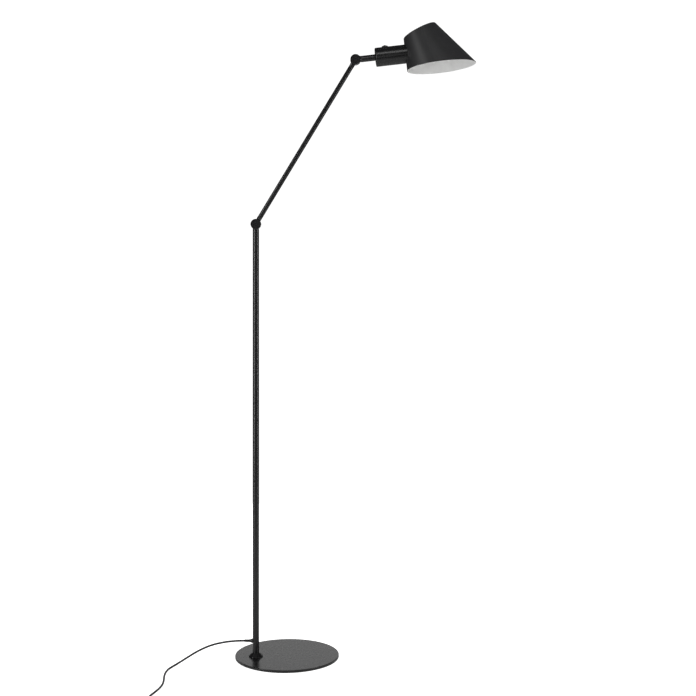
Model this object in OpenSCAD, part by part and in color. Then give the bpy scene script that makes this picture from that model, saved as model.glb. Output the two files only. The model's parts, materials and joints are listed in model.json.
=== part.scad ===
// Adjustable arm floor lamp: round foot, sectional pole, elbow, arm, wrist and an oblique cone shade.
// Millimetres. +Z is up, +X is the way the arm reaches. The origin is the centre of the foot's underside.

/* [Base] */
// Diameter of the round base plate
base_d = 260; // [220:5:340]
// Thickness of the steel base plate
plate_t = 6; // [6:0.5:12]
// Thickness of the foam pad under the plate
pad_t = 1.5; // [1:0.5:3]
// Distance of the pole behind the centre of the base, against the way the arm reaches
pole_offset = 77; // [50:1:84]
// Distance of the pole to the front of the base's centre line
pole_side = 19; // [0:1:24]
// Diameter of the collar at the pole's foot
collar_d = 35; // [28:1:40]
// Height of the collar at the pole's foot
collar_h = 9.5; // [6:0.5:12]

/* [Pole] */
// Outer diameter of the pole tubes
pole_d = 16; // [16:0.5:20]
// Wall of the pole tubes and the neck tube
pole_wall = 1.2; // [1:0.1:1.6]
// Length of the lower pole tube
lower_len = 500; // [350:1:620]
// Length of the middle pole tube
middle_len = 477; // [350:1:600]
// Length of the top pole tube
top_len = 80; // [60:1:150]
// Height of the cord's exit above the base plate
exit_h = 39; // [30:1:60]

/* [Arm] */
// Distance between the elbow's and the wrist's pivots
arm_reach = 480; // [300:1:600]
// Outer diameter of the arm tube
arm_d = 12; // [11.5:0.5:14]
// Wall of the arm tube
arm_wall = 1; // [0.8:0.1:1.2]
// Lean of the arm from upright, in degrees
arm_lean = 31.2; // [5:0.1:60]
// Furthest lean of the arm that the elbow's stop allows, in degrees
arm_lean_max = 105; // [80:1:110]

/* [Knuckles] */
// Diameter of both knuckles
knuckle_d = 26; // [25.5:0.5:34]
// Width of both knuckles along their pivots
knuckle_w = 17; // [17:0.5:22]
// Diameter of the clamp screws
screw_d = 5; // [4:0.5:5]
// Height from the pole's top to the elbow's pivot
elbow_shank = 21.5; // [21.5:0.5:30]
// Length from the wrist's pivot to the neck tube
wrist_shank = 27; // [21.5:0.5:35]

/* [Head] */
// Lift of the lamp-holder housing above level, in degrees
head_tilt = 6.5; // [0:0.5:20]
// Furthest bend of the wrist that its stop allows, in degrees
wrist_bend_max = 105; // [90:1:110]
// Length of the neck tube
neck_len = 23; // [20:1:60]
// Diameter of the lamp-holder housing
housing_d = 47; // [46:0.5:58]
// Length of the lamp-holder housing on its centre line
housing_len = 75; // [74:1:110]
// Wall of the housing
housing_wall = 1.2; // [1:0.1:2]
// Distance from the housing's back to the switch
switch_at = 26; // [25:0.5:28]

/* [Shade] */
// Width of the shade's opening along the housing
shade_open = 173; // [165:1:210]
// Half-angle of the shade's cone, in degrees
shade_angle = 19.6; // [18:0.2:20.6]
// Height of the shade's upright back wall
back_wall = 82; // [76:1:90]
// Height of the housing's centre line above the shade's opening
shade_drop = 42; // [40:0.5:44]
// Sheet thickness of the shade
shade_wall = 1; // [0.8:0.1:1.5]
// Radius of the rounded edge at the shade's top
shade_edge_r = 4; // [2:0.5:6]

/* [Bulb] */
// Diameter of the bulb's globe
globe_d = 45; // [38:1:46]
// Length of the bulb from its tip contact to the end of the globe
bulb_len = 78; // [72:1:82]

/* [Cord] */
// Diameter of the mains cord
cord_d = 5; // [4.5:0.5:5.5]

/* [Clearances] */
// Radial gap of a spigot in its tube, a thread in its hole or a pivot in its bore
fit_gap = 0.08; // [0.05:0.01:0.1]
// Gap between pieces that move past each other
run_gap = 0.4; // [0.3:0.05:0.6]

/* [Hidden] */
$fn = 64;

black = [0.07, 0.07, 0.07];
white = [0.92, 0.92, 0.9];
steel = [0.7, 0.7, 0.72];
brass = [0.78, 0.62, 0.3];

// Heights up the pole
base_top = pad_t + plate_t;
lower_top = base_top + lower_len;
middle_top = lower_top + middle_len;
top_top = middle_top + top_len;
elbow_z = top_top + elbow_shank;
wrist_x = arm_reach * sin(arm_lean) - pole_offset;
wrist_z = elbow_z + arm_reach * cos(arm_lean);

// Tubes and what sits in them
pole_bore = pole_d - 2 * pole_wall;
arm_bore = arm_d - 2 * arm_wall;
plug_len = 18;        // length of each insert pressed into a pole tube
arm_plug_len = 16;    // length of each spigot in the arm tube
cable_bore = cord_d + 0.6;
thread_d = 10;        // hollow threads that join pole, neck and lamp holder
thread_len = 11;
thread_hole = thread_d + 2 * fit_gap;

// Foot screw and foam pad
foot_screw_d = 10;
foot_head_d = 20;
foot_head_h = 4.5;
foot_screw_len = 22;
pad_d = base_d - 8;

// Knuckle, as radii and as depths measured from its mid-plane
knuckle_r = knuckle_d / 2;
half_w = knuckle_w / 2;
joint_gap = 1;
face = joint_gap / 2;
rim = 1.8;            // wall round the cable's channel
cavity_r = knuckle_r - rim;
back_t = 2.1;         // wall behind the cable's channel
boss_r = screw_d / 2 + 3.2;
head_r = screw_d / 2 + 2;
head_h = 3.6;
pocket_h = 4;
nut_af = screw_d + 3;
nut_h = 2.7;
cap_h = 1.2;
stop_in = screw_d / 2 + 0.8;
stop_half = 15;       // half of the stop lug's angle
stop_play = 1.5;      // angle left at each end of the stop's groove
collar_top = knuckle_r + 0.9;
stub_d = pole_d;      // shoulder diameter where a stub leaves its knuckle

// Head frame: origin at the wrist's pivot, +X along the housing, tilted with the head
housing_x = wrist_shank + neck_len;
shade_x = housing_x + housing_len;
housing_r = housing_d / 2;
back_wall_t = 2;
bracket_t = 2;
bracket_w = 14;
bracket_z = -18;
holder_x = shade_x - 33;
holder_d = 34;
holder_len = 48;
holder_front = holder_x + holder_len;
cap_d = 26.2;         // screw cap of the bulb
shell_wall = 0.5;
shell_in = cap_d / 2 + 0.3;
ring_len = 5;
ring_x = shade_x + 8;
bulb_tip = holder_front - 28.5;
cap_front = holder_front - 1;
cap_back = bulb_tip + 3.5;
globe_x = bulb_tip + bulb_len - globe_d / 2;

// Shade's cone: its apex stands over the upright back wall
apex_h = shade_open / tan(2 * shade_angle);
top_slant = apex_h - back_wall;

// Switch, in the head frame
switch_x = housing_x + switch_at;
bezel_d = 16;
bezel_z = housing_r + 1.3;
bezel_top = housing_r + 2.6;
button_d = 7;
button_top = bezel_top + 1.5;
switch_top = housing_r - 3;
switch_base = switch_top - 14;
switch_d = 14;
button_foot = switch_top - 4;

// Cord: it leaves the relief, droops to the floor and runs forward to a flat coil
relief_len = 20;
relief_neck_d = cord_d + 2.8;
relief_cone_d = 11;
relief_flange_d = relief_neck_d + 2.2;
relief_flange_x = sqrt(pow(pole_bore / 2, 2) - pow(relief_flange_d / 2, 2)) - 1.1;
exit_z = base_top + exit_h;
exit_x = -pole_offset - pole_d / 2 - relief_len;
coil_pos = [-265, -362];
coil_mean_r = 30;
coil_width = 3 * cord_d;
coil_h = 2 * cord_d;
cord_route = [
    [-105, -19, 46.5], [-117, -19, 46.3], [-130, -19, 45.6], [-145, -19, 44.3], [-161, -20, 42],
    [-178, -21, 38.6], [-195, -24, 34], [-211, -28, 28], [-227, -34, 21], [-242, -43, 13.8],
    [-256, -55, 7.6], [-268, -70, 3.7], [-277, -88, 2.5], [-283, -108, 2.5], [-285, -131, 2.5],
    [-284, -156, 2.5], [-281, -180, 2.5], [-279, -205, 2.5], [-280, -229, 2.5], [-284, -252, 2.5],
    [-290, -275, 2.5], [-296, -299, 2.5], [-300, -325, 2.5], [-300, -345, 2.5]];
tail_route = [
    [-250, -397, 7.4], [-236, -396, 6.2], [-221, -391.5, 4.3], [-206, -386, 3.2],
    [-191, -381.5, 3.6], [-177, -379, 5.3], [-167, -378.5, 6.7], [-160, -378.5, 7]];
plug_pos = [-160, -378.5, 7];
plug_len_x = 38;
plug_w = 35;
plug_t = 14;
pin_d = 4;
pin_len = 19;
pin_pitch = 18.6;

// Frames

module on_pole(z) { translate([-pole_offset, -pole_side, z]) children(); }

module at_elbow() { on_pole(elbow_z) children(); }

module along_arm() { at_elbow() rotate([0, arm_lean, 0]) children(); }

module at_head() { translate([wrist_x, -pole_side, wrist_z]) rotate([0, -head_tilt, 0]) children(); }

module along_head(x) { at_head() translate([x, 0, 0]) rotate([0, 90, 0]) children(); }

module at_switch(z) { at_head() translate([switch_x, 0, z]) children(); }

// Shapes used more than once

module tube(outer, bore, len) {
    difference() {
        cylinder(d = outer, h = len);
        translate([0, 0, -1]) cylinder(d = bore, h = len + 2);
    }
}

// An insert pressed into a tube: it fills the tube and leaves a hole for the cable
module insert(tube_bore, len, hole) {
    tube(tube_bore - 2 * fit_gap, hole, len);
}

// A socket insert: a wide threaded mouth over a narrow hole for the cable
module socket_insert() {
    difference() {
        cylinder(d = pole_bore - 2 * fit_gap, h = plug_len);
        translate([0, 0, -1]) cylinder(d = cable_bore, h = plug_len + 2);
        translate([0, 0, plug_len - thread_len - 1]) cylinder(d = thread_hole, h = thread_len + 2);
    }
}

// A stud insert: the same plug with a hollow thread below it
module stud_insert() {
    difference() {
        union() {
            cylinder(d = pole_bore - 2 * fit_gap, h = plug_len);
            translate([0, 0, -thread_len]) cylinder(d = thread_d, h = thread_len + 1);
        }
        translate([0, 0, -thread_len - 1]) cylinder(d = cable_bore, h = plug_len + thread_len + 2);
    }
}

module hex_nut(across, bore, len) {
    difference() {
        cylinder(d = across / cos(30), h = len, $fn = 6);
        translate([0, 0, -1]) cylinder(d = bore, h = len + 2);
    }
}

// Turns a shape made on +Z so that it faces the front of a knuckle, -Y
module front() { rotate([90, 0, 0]) children(); }

// Part of a ring about a knuckle's pivot; angles run from up towards +X
module sector(from, to, r_in, r_out, low, high) {
    front() rotate([0, 0, 90 - to]) rotate_extrude(angle = to - from)
        translate([r_in, low]) square([r_out - r_in, high - low]);
}

// Round stub under a knuckle; on a thin tube it swells from front to back only, to hold the cable's bend
module knuckle_stub(end_d, h) {
    if (end_d < stub_d) intersection() {
        cylinder(d1 = end_d, d2 = stub_d, h = h);
        translate([0.2 - end_d / 2, -stub_d, -1]) cube([end_d - 0.4, 2 * stub_d, h + 2]);
    } else cylinder(d = end_d, h = h);
}

// Front half of a knuckle, its stub pointing down -Z; a rear half is its mirror image
module knuckle_half(shank, stub_end, spigot_d, spigot_len, pocket_r, pocket_depth) {
    neck_w = stub_end - 0.6;
    chamfer = 1.2;
    bore_r = screw_d / 2 + fit_gap;
    neck_top = 4.5;
    side_bore_y = face + cable_bore / 2 + 0.1;
    step = collar_top + 3;
    difference() {
        union() {
            front() translate([0, 0, face]) cylinder(r = knuckle_r, h = half_w - face - chamfer);
            front() translate([0, 0, half_w - chamfer])
                cylinder(r1 = knuckle_r, r2 = knuckle_r - chamfer, h = chamfer);
            intersection() {
                translate([0, 0, -collar_top]) cylinder(
                    r1 = stub_d / 2 - 0.3, r2 = knuckle_r - 0.3, h = collar_top - neck_top);
                translate([-neck_w / 2, 0.3 - half_w, -knuckle_d])
                    cube([neck_w, half_w - 0.3 - face, knuckle_d]);
            }
            translate([0, 0, -shank]) knuckle_stub(stub_end, shank - collar_top);
            translate([0, 0, -shank - spigot_len]) cylinder(d = spigot_d, h = spigot_len + 1);
        }
        front() translate([0, 0, face - 1])
            tube(2 * cavity_r, 2 * boss_r, half_w - back_t - face + 1);
        front() cylinder(r = bore_r, h = knuckle_w);
        front() translate([0, 0, half_w - pocket_depth]) cylinder(r = pocket_r, h = pocket_depth + 1);
        front() translate([0, 0, half_w - 0.5]) tube(2 * (knuckle_r - 3), 2 * head_r + 3, 1);
        translate([0, 0, -shank - spigot_len - 1])
            cylinder(d = cable_bore, h = shank + spigot_len + 1 - step);
        translate([0, -side_bore_y, -step - 2]) cylinder(d = cable_bore, h = step + 2 - boss_r - 2);
    }
}

// The half with the screw's head; its boss has a groove that the other half's stop runs in
module screw_half(shank, spigot_d, spigot_len, from, to) {
    difference() {
        knuckle_half(shank, stub_d, spigot_d, spigot_len, head_r + 0.1, pocket_h);
        sector(from - stop_half - stop_play, to + stop_half + stop_play, stop_in, boss_r + 1, 0,
            face + 2.2);
    }
}

// The half with the nut; its boss carries the stop lug
module nut_half(shank, stub_end, spigot_d, spigot_len) {
    mirror([0, 1, 0]) {
        difference() {
            knuckle_half(shank, stub_end, spigot_d, spigot_len, head_r + 1, cap_h);
            front() translate([0, 0, half_w - pocket_h])
                cylinder(d = (nut_af + 0.2) / cos(30), h = pocket_h, $fn = 6);
        }
        sector(-stop_half, stop_half, stop_in + 0.2, boss_r - 0.1, -face - 1.8, face + 1);
    }
}

module friction_washer() {
    front() translate([0, 0, -face + 0.2]) tube(knuckle_d - 0.6, 2 * cavity_r + 0.2, joint_gap - 0.2);
}

module clamp_screw() {
    difference() {
        union() {
            front() translate([0, 0, half_w - pocket_h]) cylinder(r = head_r, h = head_h);
            front() translate([0, 0, 0.5 - half_w + cap_h])
                cylinder(d = screw_d, h = knuckle_w - pocket_h - 1);
        }
        front() translate([0, 0, half_w - 2.4]) cylinder(d = 3 / cos(30), h = 4, $fn = 6);
    }
}

module clamp_nut() {
    mirror([0, 1, 0]) front() translate([0, 0, half_w - pocket_h])
        hex_nut(nut_af, screw_d + 2 * fit_gap, nut_h);
}

module knuckle_cap() {
    mirror([0, 1, 0]) front() translate([0, 0, half_w - cap_h + 0.05])
        cylinder(r1 = head_r + 0.9, r2 = head_r + 0.4, h = cap_h + 0.3);
}

// Cone of the shade as a solid of revolution: outline points of one skin, an inset inside the sheet
function cone_skin(inset, depth) =
    let (r = shade_edge_r - inset,
         z = top_slant * cos(shade_angle) + shade_edge_r,
         x = (z * sin(shade_angle) - shade_edge_r) / cos(shade_angle))
    concat([[0, r - z]],
        [for (i = [0:5]) let (a = 90 - i * (90 - shade_angle) / 5) [x + r * cos(a), r * sin(a) - z]],
        [[depth * tan(shade_angle) - inset / cos(shade_angle), -depth]]);

cone_depth = shade_open / sin(2 * shade_angle) * cos(shade_angle) + 10;

module at_apex() {
    at_head() translate([shade_x, 0, apex_h - shade_drop]) rotate([0, -shade_angle, 0]) children();
}

module cone_solid(inset) {
    skin = cone_skin(inset, cone_depth);
    at_apex() rotate_extrude($fn = 96) polygon(concat(skin, [[0, -cone_depth]]));
}

// A round tube swept along a route, as one closed polyhedron with flat ends

function unit(v) = v / norm(v);

function blend(p, i, t) =
    let (n = len(p) - 1, a = p[max(i - 1, 0)], b = p[i], c = p[i + 1], d = p[min(i + 2, n)])
    0.5 * (2 * b + (c - a) * t + (2 * a - 5 * b + 4 * c - d) * t * t + (3 * b - a - 3 * c + d) * t * t * t);

function refine(p, steps) =
    concat([for (i = [0:len(p) - 2]) for (k = [0:steps - 1]) blend(p, i, k / steps)], [p[len(p) - 1]]);

function heading(p, i) = unit(p[min(i + 1, len(p) - 1)] - p[max(i - 1, 0)]);

module swept(route, d, sides, side_way, steps = 1) {
    path = refine(route, steps);
    rings = len(path);
    points = [for (i = [0:rings - 1])
        let (along = heading(path, i), a = unit(cross(side_way, along)), b = cross(along, a))
        for (k = [0:sides - 1]) path[i] + d / 2 * (a * cos(360 * k / sides) + b * sin(360 * k / sides))];
    walls = [for (i = [0:rings - 2]) for (k = [0:sides - 1])
        let (a = i * sides, b = a + sides, n = (k + 1) % sides)
        for (corners = [[a + k, b + k, b + n], [a + k, b + n, a + n]]) corners];
    start = [for (k = [0:sides - 1]) k];
    end = [for (k = [sides - 1:-1:0]) (rings - 1) * sides + k];
    polyhedron(points = points, faces = concat([start], walls, [end]), convexity = 8);
}

// Foot

module base_plate() {
    edge = 0.8;
    r = base_d / 2;
    color(black) difference() {
        translate([0, 0, pad_t]) rotate_extrude($fn = 128) polygon([
            [0, 0], [r - edge, 0], [r, edge], [r, plate_t - edge], [r - edge, plate_t], [0, plate_t]]);
        on_pole(0) cylinder(d = foot_screw_d + 0.5, h = base_top + 1);
        on_pole(pad_t - 0.01) cylinder(d1 = foot_head_d + 0.5, d2 = foot_screw_d + 0.5, h = foot_head_h);
    }
}

module base_pad() { color([0.15, 0.15, 0.15]) cylinder(d = pad_d, h = pad_t, $fn = 128); }

module base_screw() {
    color(steel) on_pole(pad_t) difference() {
        union() {
            cylinder(d1 = foot_head_d, d2 = foot_screw_d, h = foot_head_h);
            cylinder(d = foot_screw_d, h = foot_screw_len);
        }
        translate([0, 0, -1]) cylinder(d = 6 / cos(30), h = 4, $fn = 6);
    }
}

module foot_insert() {
    color(steel) on_pole(base_top) difference() {
        cylinder(d = pole_bore - 2 * fit_gap, h = 24);
        translate([0, 0, -1]) cylinder(d = foot_screw_d + 2 * fit_gap, h = foot_screw_len - plate_t + 2);
    }
}

module pole_collar() {
    color(black) on_pole(base_top) difference() {
        union() {
            cylinder(d = collar_d, h = 1.2);
            translate([0, 0, 1.2]) cylinder(d1 = collar_d, d2 = pole_d + 3, h = collar_h - 1.2);
        }
        translate([0, 0, -1]) cylinder(d = pole_d + 2 * fit_gap, h = collar_h + 2);
    }
}

// Pole

module lower_pole() {
    color(black) on_pole(base_top) difference() {
        tube(pole_d, pole_bore, lower_len);
        translate([0, 0, exit_h]) rotate([0, -90, 0]) cylinder(d = relief_neck_d + 2 * fit_gap, h = pole_d);
    }
}

module lower_socket() { color(steel) on_pole(lower_top - plug_len) socket_insert(); }

module middle_stud() { color(steel) on_pole(lower_top) stud_insert(); }

module middle_pole() { color(black) on_pole(lower_top) tube(pole_d, pole_bore, middle_len); }

module middle_socket() { color(steel) on_pole(middle_top - plug_len) socket_insert(); }

module top_stud() { color(steel) on_pole(middle_top) stud_insert(); }

module top_pole() { color(black) on_pole(middle_top) tube(pole_d, pole_bore, top_len); }

// Elbow: the half with the screw's head is the pole's, the half with the nut is the arm's

module elbow_pole_half() {
    color(black) at_elbow()
        screw_half(elbow_shank, pole_bore - 2 * fit_gap, plug_len, 180, 180 + arm_lean_max);
}

module elbow_arm_half() {
    color(black) along_arm() rotate([0, 180, 0])
        nut_half(elbow_shank, arm_d, arm_bore - 2 * fit_gap, arm_plug_len);
}

module elbow_washer() { color(white) at_elbow() friction_washer(); }

module elbow_screw() { color(steel) at_elbow() clamp_screw(); }

module elbow_nut() { color(steel) along_arm() clamp_nut(); }

module elbow_cap() { color(black) along_arm() knuckle_cap(); }

// Arm

module arm_tube() {
    color(black) along_arm() translate([0, 0, elbow_shank])
        tube(arm_d, arm_bore, arm_reach - 2 * elbow_shank);
}

module wrist_arm_half() {
    color(black) along_arm() translate([0, 0, arm_reach])
        nut_half(elbow_shank, arm_d, arm_bore - 2 * fit_gap, arm_plug_len);
}

module wrist_nut() { color(steel) along_arm() translate([0, 0, arm_reach]) clamp_nut(); }

module wrist_cap() { color(black) along_arm() translate([0, 0, arm_reach]) knuckle_cap(); }

// Wrist and neck

module wrist_head_half() {
    color(black) at_head() rotate([0, -90, 0])
        screw_half(wrist_shank, pole_bore - 2 * fit_gap, 12, 180 - wrist_bend_max, 180);
}

module wrist_washer() { color(white) at_head() friction_washer(); }

module wrist_screw() { color(steel) at_head() clamp_screw(); }

module neck_tube() { color(black) along_head(wrist_shank) tube(pole_d, pole_bore, neck_len); }

module neck_stud() {
    color(steel) difference() {
        union() {
            along_head(housing_x - 9) cylinder(d = pole_bore - 2 * fit_gap, h = 9);
            along_head(housing_x - 1) cylinder(d = thread_d, h = 11);
        }
        along_head(housing_x - 10) cylinder(d = cable_bore, h = 22);
    }
}

module neck_nut() {
    color(steel) along_head(housing_x + back_wall_t + bracket_t) hex_nut(14, thread_hole, 3);
}

// Housing, with its mouth cut to sit on the shade
module housing_shell() {
    edge = 2.5;
    color(black) difference() {
        along_head(housing_x) rotate_extrude() polygon(concat(
            [[thread_hole / 2, 0]],
            [for (i = [0:4]) let (a = 22.5 * i - 90)
                [housing_r - edge + edge * cos(a), edge + edge * sin(a)]],
            [[housing_r, housing_len + 20], [housing_r - housing_wall, housing_len + 20],
             [housing_r - housing_wall, back_wall_t], [thread_hole / 2, back_wall_t]]));
        cone_solid(-0.05);
        at_switch(0) cylinder(d = thread_hole, h = housing_d);
    }
}

// Strap that carries the lamp holder from the housing's back
module holder_bracket() {
    front_x = holder_x - bracket_t;
    tab_top = 8;
    color(steel) difference() {
        at_head() translate([0, -bracket_w / 2, bracket_z]) {
            translate([housing_x + back_wall_t, 0, 0]) cube([bracket_t, bracket_w, tab_top - bracket_z]);
            translate([housing_x + back_wall_t, 0, 0])
                cube([front_x + bracket_t - housing_x - back_wall_t, bracket_w, bracket_t]);
            translate([front_x, 0, 0]) cube([bracket_t, bracket_w, tab_top - bracket_z]);
        }
        along_head(housing_x) cylinder(d = thread_hole, h = holder_x - housing_x + 1);
    }
}

module holder_nipple() { color(brass) along_head(holder_x - 7) tube(thread_d, cable_bore, 15); }

module holder_nut() { color(steel) along_head(holder_x - bracket_t - 3) hex_nut(14, thread_hole, 3); }

module lamp_holder() {
    shell_r = shell_in + shell_wall + fit_gap;
    color([0.12, 0.12, 0.12]) along_head(holder_x) rotate_extrude() polygon([
        [thread_hole / 2, 0], [14, 0], [holder_d / 2, 4], [holder_d / 2, holder_len],
        [shell_r + 0.3, holder_len], [shell_r, holder_len - 1], [shell_r, 17], [5, 17], [5, 13],
        [10, 13], [10, 9], [thread_hole / 2, 9]]);
}

module holder_shell() {
    color(brass) along_head(holder_x + 20) tube(2 * (shell_in + shell_wall), 2 * shell_in, holder_len - 22);
}

// Sprung tongue that touches the bulb's tip
module holder_contact() {
    color(brass) at_head() translate([holder_x + 17, -2.5, 0]) {
        translate([0, 0, -11]) cube([0.6, 5, 16]);
        translate([0, 0, -2.5]) cube([bulb_tip - holder_x - 17, 5, 5]);
    }
}

// Shade

module shade() {
    color(black) difference() {
        cone_solid(0);
        cone_solid(shade_wall);
        at_head() translate([0, -shade_open, -shade_drop - shade_open])
            cube([3 * shade_open, 2 * shade_open, shade_open]);
        along_head(holder_x) cylinder(d = holder_d + 2 * fit_gap, h = holder_len);
    }
}

// Washer that is curved to the shade on one side and flat for the ring on the other
module shade_washer() {
    color(white) intersection() {
        along_head(shade_x) tube(holder_d + 10, holder_d + 2 * fit_gap, ring_x - shade_x);
        cone_solid(shade_wall + 0.05);
    }
}

module shade_ring() {
    color(white) along_head(ring_x) difference() {
        union() {
            cylinder(d = holder_d + 10, h = ring_len - 1);
            cylinder(d = holder_d + 8, h = ring_len);
        }
        translate([0, 0, -1]) cylinder(d = holder_d + 2 * fit_gap, h = ring_len + 2);
    }
}

// Bulb

module bulb_globe() {
    neck_r = globe_d / 2 * sin(50);
    color(white) difference() {
        along_head(globe_x) sphere(d = globe_d);
        along_head(globe_x) sphere(d = globe_d - 2);
        along_head(globe_x - globe_d / 2 * cos(50) - globe_d) cylinder(r = neck_r + 5, h = globe_d);
    }
}

module bulb_body() {
    end = globe_x - globe_d / 2 * cos(50) - 0.1;
    color(white) along_head(cap_front)
        cylinder(r1 = cap_d / 2, r2 = globe_d / 2 * sin(50), h = end - cap_front);
}

module bulb_cap() {
    color(steel) {
        along_head(cap_back) cylinder(d = cap_d, h = cap_front - cap_back);
        along_head(bulb_tip) cylinder(d1 = 9, d2 = cap_d - 6, h = cap_back - bulb_tip);
    }
}

// Switch

module switch_body() {
    color(black) difference() {
        union() {
            at_switch(switch_base) cylinder(d = switch_d, h = switch_top - switch_base);
            at_switch(switch_top - 1) cylinder(d = thread_d, h = bezel_top - switch_top + 0.5);
        }
        at_switch(switch_base + 2) cylinder(d = button_d + 2 * run_gap, h = housing_d);
    }
}

module switch_bezel() {
    color(black) difference() {
        union() {
            at_switch(housing_r - 3) cylinder(d = bezel_d, h = bezel_z - housing_r + 3);
            at_switch(bezel_z) cylinder(d1 = bezel_d, d2 = thread_d + 1.5, h = bezel_top - bezel_z);
        }
        at_switch(0) cylinder(d = thread_hole, h = housing_d);
        along_head(housing_x) cylinder(r = housing_r + 0.05, h = housing_len);
    }
}

module switch_button() {
    edge = 0.6;
    color([0.1, 0.1, 0.1]) at_switch(button_foot) {
        cylinder(d = button_d, h = button_top - button_foot - edge);
        translate([0, 0, button_top - button_foot - edge])
            cylinder(d1 = button_d, d2 = button_d - 2 * edge, h = edge);
    }
}

module switch_spring() {
    coils = 4;
    per_turn = 12;
    wire = 0.6;
    low = switch_base + 2 + wire / 2;
    high = button_foot - run_gap - wire / 2;
    helix = [for (i = [0:coils * per_turn]) let (a = 360 * i / per_turn)
        [2.4 * cos(a), 2.4 * sin(a), low + (high - low) * i / (coils * per_turn)]];
    color(steel) at_switch(0) swept(helix, wire, 6, [0, 0, 1]);
}

// Cable inside the lamp, one length for each part that moves by itself

module pole_cable() {
    bend_r = relief_flange_x;
    bend = [for (a = [0:22.5:90]) [bend_r * (sin(a) - 1), 0, bend_r * (1 - cos(a))]];
    route = concat([[exit_x + pole_offset + 0.1, 0, 0]], bend,
        [for (z = [lower_top, top_top + 0.5]) [0, 0, z - exit_z]]);
    color([0.2, 0.2, 0.2]) on_pole(exit_z) swept(route, cord_d - 0.1, 12, [0, 1, 0]);
}

module arm_cable() {
    color([0.2, 0.2, 0.2]) along_arm() translate([0, 0, elbow_shank - 0.5])
        cylinder(d = cord_d, h = arm_reach - 2 * elbow_shank + 1);
}

module head_cable() {
    color([0.2, 0.2, 0.2]) along_head(wrist_shank - 0.5) cylinder(d = cord_d, h = neck_len + 13);
}

// Thin leads: cable to switch, switch to lamp holder, and cable straight to lamp holder
module holder_leads() {
    lead = 2;
    start = housing_x + 12.6;
    end = holder_x + 9;
    base = switch_base;
    color([0.35, 0.2, 0.1]) at_head() {
        swept([[start, 1.2, 0], [start + 2, 1.2, 0], [start + 5, 1.6, 1], [switch_x - 3, 3, base - 3],
            [switch_x - 3, 3, base - 0.1]], lead, 8, [0, 1, 0]);
        swept([[switch_x + 3, 3, base - 0.1], [switch_x + 3, 3, base - 3], [holder_x - 11, 1.6, 0.8],
            [holder_x - 8, 1.3, 0], [end, 1.3, 0]], lead, 8, [0, 1, 0]);
        swept([[start, -1.2, 0], [start + 2, -1.2, 0], [start + 9, -3, -3], [holder_x - 15, -3, -3],
            [holder_x - 8, -1.3, 0], [end, -1.3, 0]], lead, 8, [0, 1, 0]);
    }
}

// Mains cord, from the relief on the pole to the plug

// Tapered relief snapped into the pole's side: flange inside, neck through the wall, cone outside
module cord_relief() {
    r = pole_d / 2;
    cone_len = 6;
    sleeve_d = cord_d + 2.5;
    color(black) on_pole(exit_z) difference() {
        rotate([0, -90, 0]) union() {
            translate([0, 0, relief_flange_x]) cylinder(d = relief_flange_d, h = 1);
            translate([0, 0, relief_flange_x]) cylinder(d = relief_neck_d, h = r);
            translate([0, 0, r - 2]) cylinder(d = relief_cone_d, h = 3);
            translate([0, 0, r + 1]) cylinder(d1 = relief_cone_d, d2 = sleeve_d, h = cone_len - 1);
            translate([0, 0, r + cone_len])
                cylinder(d1 = sleeve_d, d2 = cord_d + 1, h = relief_len - cone_len);
        }
        rotate([0, -90, 0]) cylinder(d = cord_d, h = 2 * relief_len);
        difference() {
            translate([0, 0, -10]) tube(pole_d + 0.1, pole_bore - 0.1, 20);
            rotate([0, -90, 0]) cylinder(d = relief_neck_d, h = pole_d);
        }
    }
}

module power_cord() { color([0.12, 0.12, 0.12]) swept(cord_route, cord_d, 8, [0, 1, 0.02], 2); }

module cord_coil() {
    color([0.12, 0.12, 0.12]) translate([coil_pos[0], coil_pos[1], 0]) rotate_extrude()
        translate([coil_mean_r - coil_width / 2, 0]) square([coil_width, coil_h]);
}

module cord_tail() { color([0.12, 0.12, 0.12]) swept(tail_route, cord_d, 8, [0, 0, 1], 2); }

module plug_body() {
    half = plug_w / 2;
    color([0.12, 0.12, 0.12]) translate([plug_pos[0], plug_pos[1], 0]) {
        translate([6, 0, 0]) linear_extrude(plug_t) polygon([
            [0, -10], [8, -half], [plug_len_x - 6, -half], [plug_len_x - 6, half], [8, half], [0, 10]]);
        translate([0, 0, plug_t / 2]) rotate([0, 90, 0]) cylinder(d1 = cord_d + 2, d2 = 11, h = 6.5);
    }
}

module plug_pins() {
    color(steel) for (side = [-1, 1])
        translate([plug_pos[0] + plug_len_x, plug_pos[1] + side * pin_pitch / 2, plug_t / 2])
            rotate([0, 90, 0]) {
                cylinder(d = pin_d, h = pin_len - 1);
                translate([0, 0, pin_len - 1]) cylinder(d1 = pin_d, d2 = pin_d - 1.6, h = 1);
            }
}

base_plate();
base_pad();
base_screw();
foot_insert();
pole_collar();
lower_pole();
lower_socket();
middle_stud();
middle_pole();
middle_socket();
top_stud();
top_pole();
elbow_pole_half();
elbow_arm_half();
elbow_washer();
elbow_screw();
elbow_nut();
elbow_cap();
arm_tube();
wrist_arm_half();
wrist_head_half();
wrist_washer();
wrist_screw();
wrist_nut();
wrist_cap();
neck_tube();
neck_stud();
neck_nut();
housing_shell();
holder_bracket();
holder_nipple();
holder_nut();
lamp_holder();
holder_shell();
holder_contact();
shade();
shade_washer();
shade_ring();
bulb_globe();
bulb_body();
bulb_cap();
switch_body();
switch_bezel();
switch_button();
switch_spring();
pole_cable();
arm_cable();
head_cable();
holder_leads();
cord_relief();
power_cord();
cord_coil();
cord_tail();
plug_body();
plug_pins();
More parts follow.
